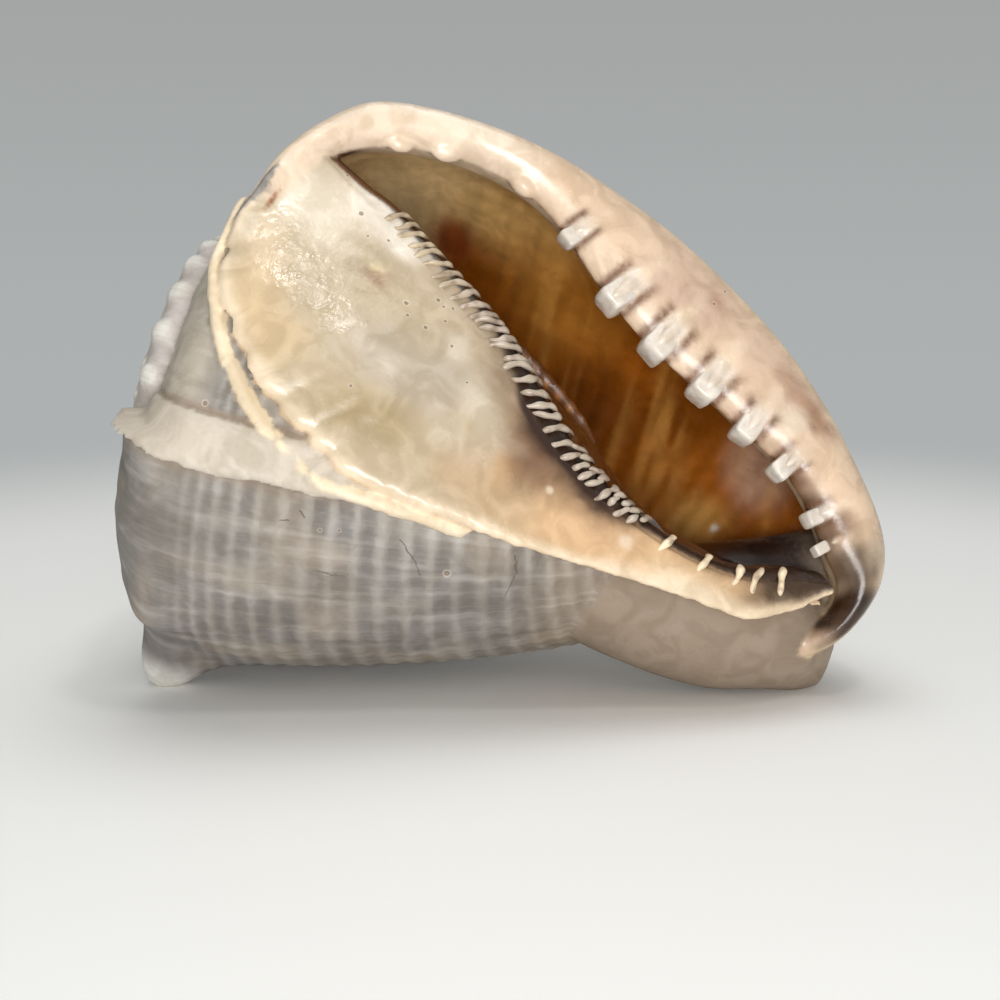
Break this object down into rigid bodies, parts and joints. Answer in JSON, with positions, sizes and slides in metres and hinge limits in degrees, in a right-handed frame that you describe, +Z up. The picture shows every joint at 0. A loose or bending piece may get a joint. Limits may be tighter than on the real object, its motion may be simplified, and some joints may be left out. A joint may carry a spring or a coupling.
{
  "type": "king helmet shell",
  "caption": "Large sea snail shell lying on its back with the mouth to the front, a broad glazed shield, a thick toothed outer lip and a low knobbed spire.",
  "frame": {"origin": "centre of the bounding box, on the surface that the shell rests on", "axes": "+X from the spire towards the canal, +Z up, and the mouth faces -Y and up"},
  "size_m": [0.2012, 0.1604, 0.1552],
  "materials": {
    "shell": "natural sea shell: glazed ivory and peach around the mouth, orange-brown inside, dull warm grey outside"
  },
  "bodies": {
    "root": {"shell": "shell"}
  },
  "joints": []
}
